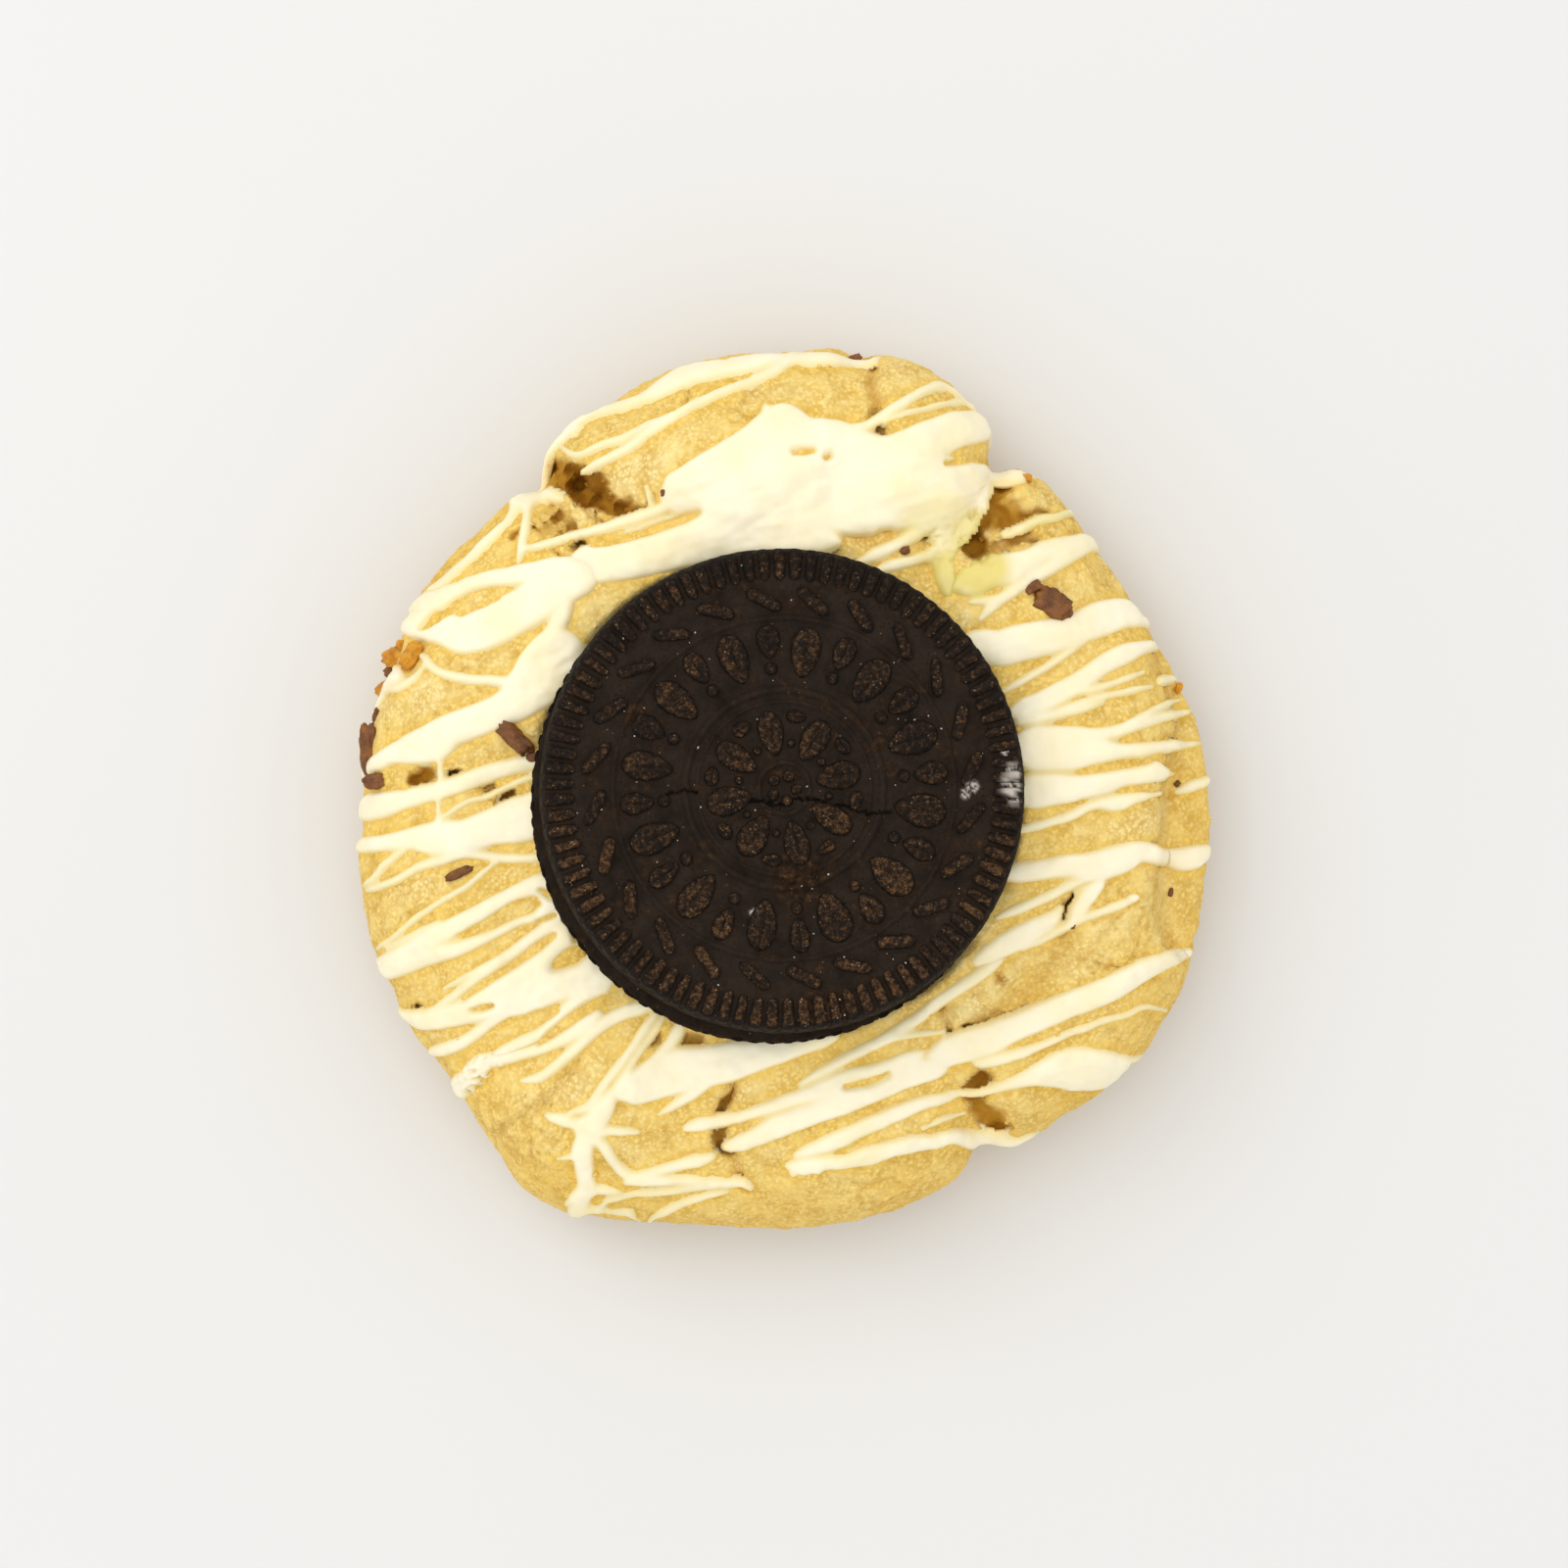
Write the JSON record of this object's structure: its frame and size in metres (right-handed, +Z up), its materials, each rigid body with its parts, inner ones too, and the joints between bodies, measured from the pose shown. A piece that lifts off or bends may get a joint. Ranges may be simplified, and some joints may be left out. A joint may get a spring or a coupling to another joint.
{
  "type": "cookies and cream cookie",
  "caption": "Thick baked cookie with white chocolate drizzle and a dark cream-filled sandwich biscuit pressed into its top.",
  "frame": {"origin": "middle of the cookie's box on its underside", "axes": "+Z up out of the top face, +Y towards the upper lobe as seen from above"},
  "size_m": [0.0826, 0.0846, 0.0328],
  "materials": {
    "baked_dough": "matt baked crumb, golden, browner towards the edge",
    "dark_wafer": "dry dark cocoa biscuit, matt",
    "cream": "smooth matt sugar cream",
    "white_chocolate": "set ivory drizzle, soft gloss",
    "chocolate": "milk chocolate pieces, satin",
    "caramel": "baked caramel bits, glossy"
  },
  "bodies": {
    "root": {"cookie_dough": "baked_dough", "wafer_bottom": "dark_wafer", "cream_filling": "cream", "wafer_top": "dark_wafer"}
  },
  "joints": []
}
